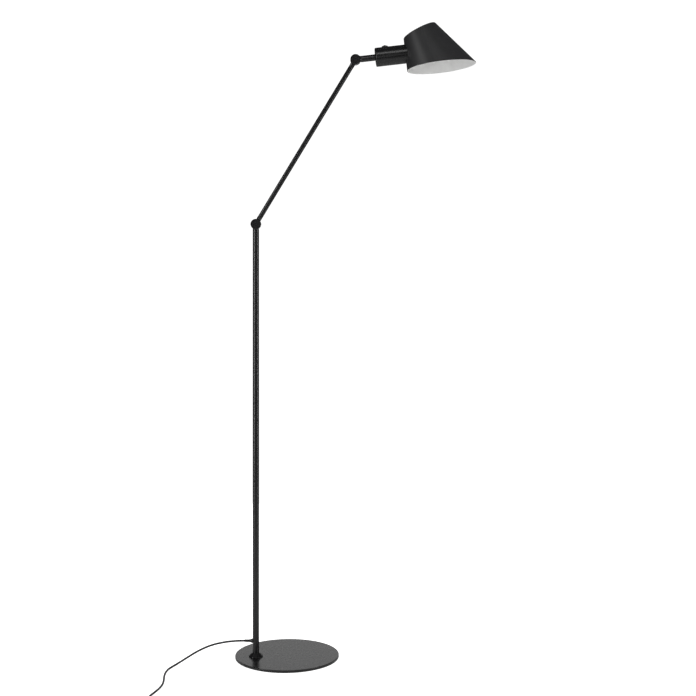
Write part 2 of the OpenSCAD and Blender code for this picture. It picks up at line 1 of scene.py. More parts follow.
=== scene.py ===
# %% [markdown]
# # An adjustable arm floor lamp
# A round steel foot carries a thin sectional pole. An elbow and a wrist, each clamped by one screw, let a
# straight arm and a cone shade move. The CAD model already fixes every size and every pivot, so this
# lesson never moves or resizes anything. It adds a camera, light, finishes, and the shapes that a drawing
# office leaves plain: rounded edges, threads, ribs, a spun shade and a real cord.

# %% Load the frame
import json
import math

import bmesh
import bpy
from mathutils import Matrix, Vector


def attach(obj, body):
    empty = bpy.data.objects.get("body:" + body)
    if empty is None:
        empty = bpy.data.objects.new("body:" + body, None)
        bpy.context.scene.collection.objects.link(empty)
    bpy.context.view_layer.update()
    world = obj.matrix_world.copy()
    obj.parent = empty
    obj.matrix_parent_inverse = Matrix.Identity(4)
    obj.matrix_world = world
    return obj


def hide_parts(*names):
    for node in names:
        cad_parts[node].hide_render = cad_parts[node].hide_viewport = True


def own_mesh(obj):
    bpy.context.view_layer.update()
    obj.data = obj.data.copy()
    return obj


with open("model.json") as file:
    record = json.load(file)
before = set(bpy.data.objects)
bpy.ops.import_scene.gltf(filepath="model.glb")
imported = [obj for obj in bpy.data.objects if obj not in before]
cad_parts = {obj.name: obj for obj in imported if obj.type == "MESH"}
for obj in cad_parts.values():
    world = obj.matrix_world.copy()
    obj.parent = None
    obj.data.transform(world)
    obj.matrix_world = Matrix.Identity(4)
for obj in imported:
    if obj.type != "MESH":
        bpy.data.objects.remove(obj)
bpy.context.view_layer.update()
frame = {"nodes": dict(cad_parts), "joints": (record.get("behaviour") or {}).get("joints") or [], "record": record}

MM = 0.001
scene = bpy.context.scene
nodes = frame["nodes"]
joints = {joint["name"]: joint for joint in frame["joints"]}

# %% [markdown]
# ## Where to stand
# The lamp is seen square on, from a little under its elbow. The camera looks level, so the pole stays
# upright, and a small lens shift brings the foot into the frame, as on a view camera. A pitched camera
# would frame it too, but then the pole would lean.

# %% Camera
EYE = (0.1529, -2.9, 0.8978)
camera = bpy.data.objects.new("camera", bpy.data.cameras.new("camera"))
camera.location = EYE
camera.rotation_euler = (math.pi / 2, 0, 0)
camera.data.lens = 59.7
camera.data.shift_y = -0.0695
scene.collection.objects.link(camera)
scene.camera = camera
print("camera at", EYE)

# %% [markdown]
# ## The mains cord
# A cord is one fixed length of something springy. It leaves its sleeve straight, droops to the floor and
# runs forward in a loose curve; the rest is wound into a flat coil. The loose part is a short list of
# points, given in millimetres. The turns follow a rule, so a loop works them out.

# %% Route of the cord
CORD_D = 5
COIL_AT = Vector((-265, -362, 0))
COIL_RADII = (35, 30, 25, 25, 30, 35)
COIL_HEIGHTS = (2.5, 2.5, 2.5, 7.5, 7.5, 7.5)
TIE_AT = 45
TIE_LIFT = 1.0
free_run = [
    (-105, -19, 46.5), (-117, -19, 46.3), (-130, -19, 45.6), (-145, -19, 44.3), (-161, -20, 42),
    (-178, -21, 38.6), (-195, -24, 34), (-211, -28, 28), (-227, -34, 21), (-242, -43, 13.8),
    (-256, -55, 7.6), (-268, -70, 3.7), (-277, -88, 2.5), (-283, -108, 2.5), (-285, -131, 2.5),
    (-284, -156, 2.5), (-281, -180, 2.5), (-279, -205, 2.5), (-280, -229, 2.5), (-284, -252, 2.5),
    (-290, -275, 2.5), (-296, -299, 2.5), (-300, -325, 2.5), (-300, -345, 2.5)]
tail_run = [
    (-250, -397, 7.4), (-236, -396, 6.2), (-221, -391.5, 4.3), (-206, -386, 3.2), (-191, -381.5, 3.6),
    (-177, -379, 5.3), (-167, -378.5, 6.7), (-160, -378.5, 7)]


def coil_turns(per_turn=30, extra=0.25):
    """Points of the coil. Each turn keeps its radius and moves over to the next in its last sixth."""
    points = []
    for step in range(int((len(COIL_RADII) + extra) * per_turn) + 1):
        turns = step / per_turn
        turn = min(int(turns), len(COIL_RADII) - 1)
        after = min(turn + 1, len(COIL_RADII) - 1)
        over = min(1.0, max(0.0, (turns - turn) * 6 - 5))
        over = over * over * (3 - 2 * over)
        radius = COIL_RADII[turn] + (COIL_RADII[after] - COIL_RADII[turn]) * over
        height = COIL_HEIGHTS[turn] + (COIL_HEIGHTS[after] - COIL_HEIGHTS[turn]) * over
        angle = math.pi + math.tau * turns
        height += TIE_LIFT * max(0.0, math.cos(angle - math.radians(TIE_AT))) ** 6
        points.append(COIL_AT + Vector((radius * math.cos(angle), radius * math.sin(angle), height)))
    return points


def smooth_line(points, steps):
    """A Catmull-Rom line through points given in millimetres, in metres."""
    p = [Vector(point) * MM for point in points]
    line = []
    for i in range(len(p) - 1):
        a, b, c, d = p[max(i - 1, 0)], p[i], p[i + 1], p[min(i + 2, len(p) - 1)]
        for t in [k / steps for k in range(steps)]:
            bend = (2 * a - 5 * b + 4 * c - d) * t + (3 * b - a - 3 * c + d) * t * t
            line.append(0.5 * (2 * b + (c - a) * t + bend * t))
    return line + [p[-1]]


cord_line = smooth_line(free_run + coil_turns() + tail_run, 3)
cord_length = sum((b - a).length for a, b in zip(cord_line, cord_line[1:]))
print("cord: %.3f m through %d points" % (cord_length, len(cord_line)))

# %% [markdown]
# ## Finishes
# Every finish is a small node tree on the Principled shader. A clean product still isn't one flat colour:
# powder coat has an orange-peel skin, zinc is cloudy, moulded plastic is spark-textured. So each finish
# gets a slow cloud for its colour, a faster one for its roughness, and a fine bump, all read from Object
# coordinates, which stay with the surface as it moves.


# %% Node helpers
def add_node(tree, kind, sockets=None, **settings):
    """Adds a node; each named or numbered socket gets a link or a value."""
    made = tree.nodes.new(kind)
    for key, value in settings.items():
        setattr(made, key, value)
    for socket, value in (sockets or {}).items():
        if isinstance(value, bpy.types.NodeSocket):
            tree.links.new(value, made.inputs[socket])
        else:
            made.inputs[socket].default_value = value
    return made


def cloud(tree, place, scale, low, high, detail=3.0):
    """A soft noise that runs from low to high."""
    noise = add_node(tree, "ShaderNodeTexNoise", {"Vector": place, "Scale": scale, "Detail": detail})
    spread = {"Value": noise.outputs["Fac"], "From Min": 0.3, "From Max": 0.7, "To Min": low, "To Max": high}
    return add_node(tree, "ShaderNodeMapRange", spread).outputs["Result"]


def peel(tree, place, scale):
    """The skin of powder coat: broad waves with a finer grain on them."""
    waves = add_node(tree, "ShaderNodeTexNoise", {"Vector": place, "Scale": scale, "Detail": 1.5})
    grain = add_node(tree, "ShaderNodeTexNoise", {"Vector": place, "Scale": scale * 4, "Detail": 2.0})
    both = {0: grain.outputs["Fac"], 1: 0.35, 2: waves.outputs["Fac"]}
    return add_node(tree, "ShaderNodeMath", both, operation="MULTIPLY_ADD").outputs[0]


def cells(tree, place, scale):
    """Closed cells, such as foam or a spark-eroded mould."""
    sockets = {"Vector": place, "Scale": scale}
    return add_node(tree, "ShaderNodeTexVoronoi", sockets).outputs["Distance"]


def rings(tree, place, scale):
    """Fine lines left by turning, drawing or a cord's machine."""
    sockets = {"Vector": place, "Scale": scale, "Distortion": 1.5, "Detail": 2.0, "Detail Scale": 3.0}
    wave = add_node(tree, "ShaderNodeTexWave", sockets, bands_direction="DIAGONAL")
    return wave.outputs["Fac"]


def braid(tree, place, scale):
    """Two families of threads that cross, for woven sleeving."""
    one = add_node(tree, "ShaderNodeTexWave", {"Vector": place, "Scale": scale}, bands_direction="DIAGONAL")
    turned = add_node(tree, "ShaderNodeMapping", {"Vector": place, "Rotation": (0, math.pi / 2, 0)})
    sockets = {"Vector": turned.outputs[0], "Scale": scale}
    two = add_node(tree, "ShaderNodeTexWave", sockets, bands_direction="DIAGONAL")
    both = {0: one.outputs["Fac"], 1: two.outputs["Fac"]}
    return add_node(tree, "ShaderNodeMath", both, operation="MAXIMUM").outputs[0]


def finish(name, color, rough, swing, skin, skin_scale, depth, **shader):
    """A finish: its colour and roughness drift by swing, and skin gives a bump of that depth in metres."""
    material = bpy.data.materials.new(name)
    material.use_nodes = True
    tree = material.node_tree
    principled = tree.nodes["Principled BSDF"]
    place = tree.nodes.new("ShaderNodeTexCoord").outputs["Object"]
    drift = cloud(tree, place, 45.0, 1 - swing, 1 + swing)
    sockets = {0: color, "Scale": drift}
    tint = add_node(tree, "ShaderNodeVectorMath", sockets, operation="SCALE").outputs[0]
    tree.links.new(tint, principled.inputs["Base Color"])
    gloss = cloud(tree, place, 160.0, rough * (1 - swing), rough * (1 + swing))
    tree.links.new(gloss, principled.inputs["Roughness"])
    relief = {"Height": skin(tree, place, skin_scale), "Distance": depth, "Strength": 0.35}
    bump = add_node(tree, "ShaderNodeBump", relief)
    tree.links.new(bump.outputs["Normal"], principled.inputs["Normal"])
    for socket, value in shader.items():
        principled.inputs[socket.replace("_", " ")].default_value = value
    return material


# %% The finishes
BLACK = (0.007, 0.007, 0.0075)
finishes = {
    "black_paint": finish("satin_black_powder_coat", BLACK, 0.28, 0.05, peel, 500.0, 0.000006),
    "shade_paint": finish("satin_black_shade_coat", (0.019, 0.019, 0.02), 0.46, 0.06, peel, 500.0,
                          0.000006),
    "foam": finish("dark_foam", (0.035, 0.035, 0.037), 0.9, 0.15, cells, 900.0, 0.0006),
    "steel": finish("zinc_plate", (0.58, 0.6, 0.62), 0.32, 0.18, rings, 350.0, 0.00003, Metallic=1.0),
    "black_steel": finish("black_oxide", (0.03, 0.03, 0.032), 0.36, 0.15, rings, 500.0, 0.00002,
                          Metallic=0.7),
    "nylon": finish("white_nylon", (0.82, 0.82, 0.78), 0.48, 0.05, peel, 1500.0, 0.00004,
                    Subsurface_Weight=0.1, Subsurface_Scale=0.001),
    "black_plastic": finish("moulded_black", (0.02, 0.02, 0.021), 0.5, 0.08, cells, 2600.0, 0.00004),
    "black_rubber": finish("cord_sheath", (0.018, 0.018, 0.018), 0.46, 0.1, rings, 260.0, 0.00005),
    "brass": finish("drawn_brass", (0.76, 0.56, 0.25), 0.3, 0.15, rings, 420.0, 0.00003, Metallic=1.0),
    "opal": finish("opal_diffuser", (0.92, 0.92, 0.89), 0.34, 0.04, peel, 300.0, 0.00002,
                   Subsurface_Weight=0.35, Subsurface_Scale=0.004),
    "white_plastic": finish("moulded_white", (0.86, 0.86, 0.84), 0.42, 0.05, cells, 2600.0, 0.00003),
    "nickel": finish("nickel_plate", (0.72, 0.7, 0.66), 0.22, 0.2, rings, 300.0, 0.00002, Metallic=1.0),
    "lead_sleeve": finish("woven_sleeve", (0.2, 0.085, 0.035), 0.7, 0.12, braid, 900.0, 0.0002),
}
shade_lining = finish("matt_white_lining", (0.93, 0.93, 0.92), 0.62, 0.04, peel, 900.0, 0.00006)
pin_sleeve = finish("pin_sleeve", (0.02, 0.02, 0.02), 0.45, 0.08, cells, 2600.0, 0.00003)
print(len(finishes) + 2, "finishes")

# %% [markdown]
# The CAD nodes that already have their true shape keep their meshes. Each only swaps its plain material
# for the finish of its slot in the record.

# %% Finishes on the CAD nodes
slots = {part["node"]: part["material_slot"] for part in frame["record"]["subparts"]}
for name, slot in slots.items():
    nodes[name].material_slots[0].material = finishes[slot]
print(len(slots), "nodes have a finish")

# %% [markdown]
# ## Frames of reference
# The lamp is made of straight pieces at angles to each other, and it is far easier to shape each one on
# its own axis. Four matrices carry work from such an axis to its place: up the pole, along the arm, along
# the head, and along any of them turned to face +X. All come from the joints, so they follow the CAD.

# %% Frames
elbow = Vector(joints["elbow_hinge"]["pos_m"])
wrist = Vector(joints["wrist_hinge"]["pos_m"])
head_tilt = math.asin(joints["switch_press"]["axis"][0])
arm_lean = math.atan2(wrist.x - elbow.x, wrist.z - elbow.z)
QUARTER = Matrix.Rotation(math.pi / 2, 4, "Y")
on_floor = Matrix.Identity(4)
on_pole = Matrix.Translation((elbow.x, elbow.y, 0))
on_arm = Matrix.Translation(elbow) @ Matrix.Rotation(arm_lean, 4, "Y")
in_head = Matrix.Translation(wrist) @ Matrix.Rotation(-head_tilt, 4, "Y")
along_head = in_head @ QUARTER
print("arm leans %.1f, head lifts %.1f degrees" % (math.degrees(arm_lean), math.degrees(head_tilt)))


def span(name, place):
    """Lowest and highest corner of a CAD node in a frame of reference, in millimetres."""
    back = place.inverted()
    points = [back @ vertex.co / MM for vertex in nodes[name].data.vertices]
    return [Vector([pick(point[axis] for point in points) for axis in range(3)]) for pick in (min, max)]


# %% [markdown]
# ## One lathe for every round piece
# Most of a lamp is turned, spun or drawn: everything round has an outline that goes once about an axis.
# Blender's Screw modifier could do that. A Geometry Nodes lathe is used instead, because one tree then
# serves some twenty pieces: it lays a grid with a row for each point of the outline, and turns each
# column of it about Z.


# %% Geometry Nodes helpers
def new_tree(name, inputs):
    """A tree with named inputs; returns it with the sockets that its inputs arrive on."""
    tree = bpy.data.node_groups.new(name, "GeometryNodeTree")
    tree.interface.new_socket("Geometry", in_out="INPUT", socket_type="NodeSocketGeometry")
    for label, kind in [*inputs, ("Material", "Material")]:
        tree.interface.new_socket(label, in_out="INPUT", socket_type="NodeSocket" + kind)
    tree.interface.new_socket("Geometry", in_out="OUTPUT", socket_type="NodeSocketGeometry")
    return tree, tree.nodes.new("NodeGroupInput").outputs


def end_tree(tree, values, geometry):
    """Realises instances and gives the result its material."""
    real = add_node(tree, "GeometryNodeRealizeInstances", {"Geometry": geometry})
    sockets = {"Geometry": real.outputs[0], "Material": values["Material"]}
    painted = add_node(tree, "GeometryNodeSetMaterial", sockets)
    add_node(tree, "NodeGroupOutput", {0: painted.outputs[0]})
    return tree


def run_tree(name, tree, values, material):
    """Runs a tree once with its inputs set by identifier, and keeps the result as a plain mesh."""
    piece = bpy.data.objects.new(name, bpy.data.meshes.new(name))
    scene.collection.objects.link(piece)
    modifier = piece.modifiers.new(tree.name, "NODES")
    modifier.node_group = tree
    settings = {**values, "Material": material}
    for item in tree.interface.items_tree:
        if item.in_out == "INPUT" and item.name in settings:
            modifier[item.identifier] = settings[item.name]
    graph = bpy.context.evaluated_depsgraph_get()
    result = bpy.data.meshes.new_from_object(piece.evaluated_get(graph))
    piece.modifiers.clear()
    piece.data = result
    return piece


# %% The lathe
def lathe_tree():
    tree, values = new_tree("lathe", [("Outline", "Object"), ("Columns", "Int")])
    outline = add_node(tree, "GeometryNodeObjectInfo", {"Object": values["Outline"]}).outputs["Geometry"]
    size = add_node(tree, "GeometryNodeAttributeDomainSize", {"Geometry": outline}, component="CURVE")
    rows = size.outputs["Point Count"]
    edges = add_node(tree, "ShaderNodeMath", {0: values["Columns"], 1: 1.0}, operation="ADD")
    grid = add_node(tree, "GeometryNodeMeshGrid", {"Vertices X": edges.outputs[0], "Vertices Y": rows})
    index = add_node(tree, "GeometryNodeInputIndex").outputs[0]
    row = add_node(tree, "ShaderNodeMath", {0: index, 1: rows}, operation="MODULO").outputs[0]
    part = add_node(tree, "ShaderNodeMath", {0: index, 1: rows}, operation="DIVIDE").outputs[0]
    column = add_node(tree, "ShaderNodeMath", {0: part}, operation="FLOOR").outputs[0]
    sockets = {0: column, 1: values["Columns"]}
    share = add_node(tree, "ShaderNodeMath", sockets, operation="DIVIDE").outputs[0]
    angle = add_node(tree, "ShaderNodeMath", {0: share, 1: math.tau}, operation="MULTIPLY").outputs[0]
    where = add_node(tree, "GeometryNodeInputPosition").outputs[0]
    sockets = {"Geometry": outline, "Value": where, "Index": row}
    point = add_node(tree, "GeometryNodeSampleIndex", sockets, data_type="FLOAT_VECTOR", domain="POINT")
    sockets = {"Vector": point.outputs[0], "Angle": angle}
    turned = add_node(tree, "ShaderNodeVectorRotate", sockets, rotation_type="Z_AXIS")
    placed = {"Geometry": grid.outputs["Mesh"], "Position": turned.outputs[0]}
    placed = add_node(tree, "GeometryNodeSetPosition", placed)
    sockets = {"Geometry": placed.outputs[0], "Distance": 1e-6}
    joined = add_node(tree, "GeometryNodeMergeByDistance", sockets)
    return end_tree(tree, values, joined.outputs[0])


lathe = lathe_tree()


def rounded(corners, steps=5):
    """An outline through (radius, height, fillet) corners. A fillet becomes an arc with a point each side,
    and it needs both its neighbours: the last corner's next one is the first."""
    points = []
    count = len(corners)
    for i, (r, z, fillet) in enumerate(corners):
        here = Vector((r, z))
        if not fillet:
            points.append(here)
            continue
        before = (Vector(corners[i - 1][:2]) - here).normalized()
        after = (Vector(corners[(i + 1) % count][:2]) - here).normalized()
        half = before.angle(after) / 2
        reach = fillet / math.tan(half)
        middle = here + (before + after).normalized() * fillet / math.sin(half)
        start = (here + before * reach - middle).normalized()
        end = (here + after * reach - middle).normalized()
        points.append(here + before * (reach + fillet / 2))
        points += [middle + start.slerp(end, k / steps) * fillet for k in range(steps + 1)]
        points.append(here + after * (reach + fillet / 2))
    return points


def turned(name, outline, material, place, columns=64, closed=True, solid=True):
    """Turns an outline of (radius, height) points, in millimetres, about the place's Z axis."""
    data = bpy.data.curves.new("outline", "CURVE")
    spline = data.splines.new("POLY")
    points = [*outline, outline[0]] if closed else outline
    spline.points.add(len(points) - 1)
    for point, (r, z) in zip(spline.points, points):
        point.co = (r * MM, 0, z * MM, 1)
    guide = bpy.data.objects.new("outline", data)
    scene.collection.objects.link(guide)
    piece = run_tree(name, lathe, {"Outline": guide, "Columns": columns}, material)
    bpy.data.objects.remove(guide)
    if solid:
        outward(piece)
    piece.data.transform(place)
    soften_shading(piece)
    return piece


def outward(piece):
    """Merges doubles and turns every face of a closed piece outwards."""
    mesh = bmesh.new()
    mesh.from_mesh(piece.data)
    bmesh.ops.remove_doubles(mesh, verts=mesh.verts, dist=1e-6)
    bmesh.ops.recalc_face_normals(mesh, faces=mesh.faces)
    mesh.to_mesh(piece.data)
    mesh.free()


def bake(piece):
    """Applies whatever modifiers a piece has, and leaves a plain mesh."""
    graph = bpy.context.evaluated_depsgraph_get()
    result = bpy.data.meshes.new_from_object(piece.evaluated_get(graph))
    piece.modifiers.clear()
    piece.data = result
    return piece


def soften_shading(piece, angle=32):
    """Smooth shading with creases at more than the angle, in which large flat faces stay flat."""
    piece.data.shade_smooth()
    piece.data.set_sharp_from_angle(angle=math.radians(angle))
    piece.modifiers.new("flat faces", "WEIGHTED_NORMAL").keep_sharp = True
    bake(piece)


def cut(piece, cutter):
    """Cuts one closed piece away from another, and throws the cutter away."""
    modifier = piece.modifiers.new("cut", "BOOLEAN")
    modifier.operation = "DIFFERENCE"
    modifier.solver = "EXACT"
    modifier.object = cutter
    bake(piece)
    bpy.data.objects.remove(cutter)
    soften_shading(piece)


def install(piece, body, slot, *replaced):
    """Puts a finished piece on its body, in the place of CAD nodes."""
    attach(piece, body)
    if replaced:
        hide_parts(*replaced)
    print("%s: %d faces, on %s" % (piece.name, len(piece.data.polygons), body))
    return piece


# %% [markdown]
# ## The foot
# The foot is a disc of steel plate, laser cut, its edges eased before it was coated. A cube or cylinder
# primitive has knife edges that catch no light, so the disc is turned from an outline with fillets. The
# hole for the pole's screw is then cut out of it, countersunk from below, as on a milling machine.

# %% Foot plate and pad
SCREW_HOLE_R = 5.25
COUNTERSINK_R = 10.25
COUNTERSINK_DEPTH = 4.5
lo, hi = span("base_plate", on_floor)
plate_outline = rounded([(0, lo.z, 0), (hi.x, lo.z, 0.6), (hi.x, hi.z, 1.1), (0, hi.z, 0)])
plate = turned("foot_plate", plate_outline, finishes["black_paint"], on_floor, columns=256, closed=False)
hole = [(0, lo.z - 1), (COUNTERSINK_R + 0.25, lo.z - 1), (COUNTERSINK_R, lo.z),
        (SCREW_HOLE_R, lo.z + COUNTERSINK_DEPTH), (SCREW_HOLE_R, hi.z + 1), (0, hi.z + 1)]
cut(plate, turned("hole", hole, finishes["black_paint"], on_pole, closed=False))
install(plate, "stand", "black_paint", "base_plate")
lo, hi = span("base_pad", on_floor)
pad_outline = rounded([(0, lo.z, 0), (hi.x, lo.z, 0.4), (hi.x, hi.z, 0), (0, hi.z, 0)])
pad = turned("foot_pad", pad_outline, finishes["foam"], on_floor, columns=192, closed=False)
install(pad, "stand", "foam", "base_pad")

# %% [markdown]
# ## Collar and tubes
# The collar hides the pole's bolted foot. The pole comes in three tubes that screw together, and a fine
# line shows where two meet, because each tube's end is deburred. That is a fillet of a few tenths of a
# millimetre at each end of a hollow outline, which a plain cylinder wouldn't have.

# %% Collar
SLIDING_FIT = 0.08
collar_lo, collar_hi = span("pole_collar", on_pole)
pole_r = span("middle_pole", on_pole)[1].x
bore = pole_r + SLIDING_FIT
collar = rounded([
    (bore, collar_lo.z, 0), (collar_hi.x, collar_lo.z, 0.2), (collar_hi.x, collar_lo.z + 1.4, 0.5),
    (bore + 1.6, collar_hi.z, 0.7), (bore, collar_hi.z, 0)])
install(turned("pole_foot_collar", collar, finishes["black_paint"], on_pole, columns=96),
        "stand", "black_paint", "pole_collar")

# %% Tubes
POLE_WALL = 1.2
ARM_WALL = 1.0
DEBURR = 0.35
CORD_HOLE_R = 4


def tube(node, body, place, wall):
    """A drawn tube with deburred ends, in the place of a CAD tube that lies on the place's Z axis."""
    low, high = span(node, place)
    r = high.x
    outline = rounded([(r - wall, low.z, DEBURR / 2), (r, low.z, DEBURR), (r, high.z, DEBURR),
                       (r - wall, high.z, DEBURR / 2)], steps=3)
    piece = turned(node + "_tube", outline, finishes["black_paint"], place, columns=64)
    if node == "lower_pole":
        relief = span("cord_relief", on_pole)
        middle = (relief[0].z + relief[1].z) / 2
        sideways = on_pole @ Matrix.Translation((-2 * r * MM, 0, middle * MM)) @ QUARTER
        drill = [(0, 0), (CORD_HOLE_R, 0), (CORD_HOLE_R, 2 * r), (0, 2 * r)]
        cut(piece, turned("drill", drill, finishes["black_paint"], sideways, closed=False))
    install(piece, body, "black_paint", node)


for pole in ("lower_pole", "middle_pole", "top_pole"):
    tube(pole, "stand", on_pole, POLE_WALL)
tube("arm_tube", "arm", on_arm, ARM_WALL)
tube("neck_tube", "head", along_head, POLE_WALL)

# %% [markdown]
# ## Castings and small hardware
# The knuckle halves are die castings, and the screws, nuts and caps are bought in. Their CAD shapes are
# right but knife-edged. A copy of each is merged into one skin, its flat triangles are joined, and every
# edge sharper than a crease is rolled over by the Bevel modifier. The CAD node itself isn't touched.


# %% Rolled edges
def rolled(node, body, width, segments=3, crease=28):
    """A merged copy of a CAD node whose sharp edges are rounded, in the node's place."""
    mesh = bmesh.new()
    mesh.from_mesh(nodes[node].data)
    bmesh.ops.remove_doubles(mesh, verts=mesh.verts, dist=2e-6)
    bmesh.ops.dissolve_limit(mesh, angle_limit=math.radians(0.8), verts=mesh.verts, edges=mesh.edges)
    data = bpy.data.meshes.new(node + "_piece")
    mesh.to_mesh(data)
    mesh.free()
    data.materials.append(finishes[slots[node]])
    piece = bpy.data.objects.new(node + "_piece", data)
    scene.collection.objects.link(piece)
    bevel = piece.modifiers.new("edges", "BEVEL")
    bevel.width = width * MM
    bevel.segments = segments
    bevel.limit_method = "ANGLE"
    bevel.angle_limit = math.radians(crease)
    bevel.miter_outer = "MITER_ARC"
    bake(piece)
    soften_shading(piece, 40)
    return install(piece, body, slots[node], node)


bodies = {node: body for body, members in frame["record"]["behaviour"]["bodies"].items() for node in members}
for casting in ("elbow_pole_half", "elbow_arm_half", "wrist_arm_half", "wrist_head_half"):
    rolled(casting, bodies[casting], 0.35)
for small in ("elbow_screw", "wrist_screw", "elbow_nut", "wrist_nut", "elbow_cap", "wrist_cap",
              "neck_nut", "holder_nut", "switch_bezel", "holder_bracket", "holder_contact"):
    rolled(small, bodies[small], 0.15, segments=2)

# %% [markdown]
# ## The spun shade
# A real shade of this kind is spun from a flat disc of sheet over a cone, and then cut off on the slant,
# so that its back wall hangs upright from the tilted axis. The model is made in the same order: a skin on
# the lathe, a slanting cut, then thickness. Outside it is black, inside white, so Solidify, which can give
# its inner wall another material, is a better choice than two shells.

# %% Skin of the shade
SHADE_HALF_ANGLE = math.radians(19.6)
BACK_WALL = 82
SHEET = 1.0
EDGE_R = 4
shade_lo, shade_hi = span("shade", in_head)
opening = shade_hi.x - shade_lo.x
apex_z = shade_lo.z + opening / math.tan(2 * SHADE_HALF_ANGLE)
top_slant = apex_z - shade_lo.z - BACK_WALL
at_apex = in_head @ Matrix.Translation((shade_lo.x * MM, 0, apex_z * MM))
at_apex = at_apex @ Matrix.Rotation(-SHADE_HALF_ANGLE, 4, "Y")
print("shade: opening %.1f mm, apex %.1f mm above it" % (opening, apex_z - shade_lo.z))


def cone_outline(grow):
    """Outline of the shade's skin, from its crown down, moved outwards by grow."""
    slope = math.tan(SHADE_HALF_ANGLE)
    top = top_slant * math.cos(SHADE_HALF_ANGLE)
    depth = 1.35 * opening / math.sin(2 * SHADE_HALF_ANGLE)
    side = grow / math.cos(SHADE_HALF_ANGLE)
    bottom = (depth * slope + side, -depth, 0)
    edge = (top * slope + side - grow * slope, -top + grow, EDGE_R + grow)
    curve = rounded([(0, -top + grow, 0), edge, bottom], steps=8)
    first, last = curve[-2], curve[-1]
    return curve[:-1] + [first.lerp(last, k / 8) for k in range(1, 9)]


shade = turned("spun_shade", cone_outline(0), finishes["shade_paint"], at_apex, columns=192,
               closed=False, solid=False)

# %% Slanting cut, thickness and hole
floor_of_shade = in_head @ Vector((0, 0, shade_lo.z * MM))
down = in_head.to_3x3() @ Vector((0, 0, -1))
skin = bmesh.new()
skin.from_mesh(shade.data)
bmesh.ops.bisect_plane(skin, geom=[*skin.verts, *skin.edges, *skin.faces], plane_co=floor_of_shade,
                       plane_no=down, clear_outer=True)
crown = max(skin.faces, key=lambda face: (in_head.inverted() @ face.calc_center_median()).z)
if crown.normal.dot(down) > 0:
    bmesh.ops.reverse_faces(skin, faces=skin.faces)
skin.to_mesh(shade.data)
skin.free()
shade.data.materials.append(shade_lining)
sheet = shade.modifiers.new("sheet", "SOLIDIFY")
sheet.thickness = SHEET * MM
sheet.offset = -1
sheet.use_even_offset = True
sheet.material_offset = 1
bake(shade)
holder_lo, holder_hi = span("lamp_holder", along_head)
drill_r = holder_hi.x + SLIDING_FIT
drill = [(0, holder_lo.z), (drill_r, holder_lo.z), (drill_r, holder_hi.z), (0, holder_hi.z)]
cut(shade, turned("drill", drill, shade_lining, along_head, closed=False))
rim = shade.modifiers.new("rim", "BEVEL")
rim.width = 0.3 * MM
rim.segments = 2
rim.limit_method = "ANGLE"
rim.angle_limit = math.radians(50)
bake(shade)
soften_shading(shade, 40)
install(shade, "head", "shade_paint", "shade")

# %% [markdown]
# ## The lamp-holder housing
# The housing is a drawn cup whose open end is shaped to sit on the cone, like one pipe saddled on
# another. The saddle isn't drawn: the cup is made too long and the shade's own cone cuts it, a twentieth
# of a millimetre outside its skin. Fillets soften the closed end.

# %% Housing
HOUSING_WALL = 1.2
BACK_T = 2.0
HUB_R = 5.08
SADDLE_GAP = 0.05
housing_lo, housing_hi = span("housing_shell", along_head)
r = housing_hi.x
back = housing_lo.z
front = housing_hi.z + 5
cup = rounded([
    (HUB_R, back, 0), (r, back, 2.5), (r, front, 0), (r - HOUSING_WALL, front, 0),
    (r - HOUSING_WALL, back + BACK_T, 1.0), (HUB_R, back + BACK_T, 0)], steps=8)
housing = turned("holder_housing", cup, finishes["black_paint"], along_head, columns=128)
saddle = cone_outline(SADDLE_GAP)
saddle.append(Vector((0, saddle[-1].y)))
cut(housing, turned("saddle", saddle, finishes["black_paint"], at_apex, columns=192, closed=False))
bezel_lo, bezel_hi = span("switch_bezel", in_head)
at_switch = in_head @ Matrix.Translation(((bezel_lo.x + bezel_hi.x) / 2 * MM, 0, 0))
drill = [(0, 0), (HUB_R, 0), (HUB_R, 2 * r), (0, 2 * r)]
cut(housing, turned("drill", drill, finishes["black_paint"], at_switch, closed=False))
install(housing, "head", "black_paint", "housing_shell")

# %% [markdown]
# ## Threads and springs
# A thread and a spring are the same thing, a bar that winds round an axis, so one tree winds them all.
# The spiral comes from a curve primitive, its thickness swells from nothing at each end as a real thread
# runs out, and the result is a solid that is joined to its screw.


# %% The winder
def winder_tree():
    inputs = [("Radius", "Float"), ("Length", "Float"), ("Turns", "Float"), ("Bar", "Float"),
              ("Run-out", "Float"), ("Steps", "Int"), ("Sides", "Int")]
    tree, values = new_tree("winder", inputs)
    sockets = {"Resolution": values["Steps"], "Rotations": values["Turns"], "Start Radius": values["Radius"],
               "End Radius": values["Radius"], "Height": values["Length"]}
    spiral = add_node(tree, "GeometryNodeCurveSpiral", sockets).outputs[0]
    along = add_node(tree, "GeometryNodeSplineParameter").outputs["Factor"]
    left = add_node(tree, "ShaderNodeMath", {0: 1.0, 1: along}, operation="SUBTRACT").outputs[0]
    nearer = add_node(tree, "ShaderNodeMath", {0: along, 1: left}, operation="MINIMUM").outputs[0]
    spread = {"Value": nearer, "From Max": values["Run-out"], "To Min": 0.05, "To Max": 1.0}
    swell = add_node(tree, "ShaderNodeMapRange", spread).outputs[0]
    sized = add_node(tree, "GeometryNodeSetCurveRadius", {"Curve": spiral, "Radius": swell}).outputs[0]
    sockets = {"Resolution": values["Sides"], "Radius": values["Bar"]}
    section = add_node(tree, "GeometryNodeCurvePrimitiveCircle", sockets).outputs[0]
    sockets = {"Curve": sized, "Profile Curve": section, "Fill Caps": True}
    bar = add_node(tree, "GeometryNodeCurveToMesh", sockets).outputs[0]
    return end_tree(tree, values, bar)


winder = winder_tree()


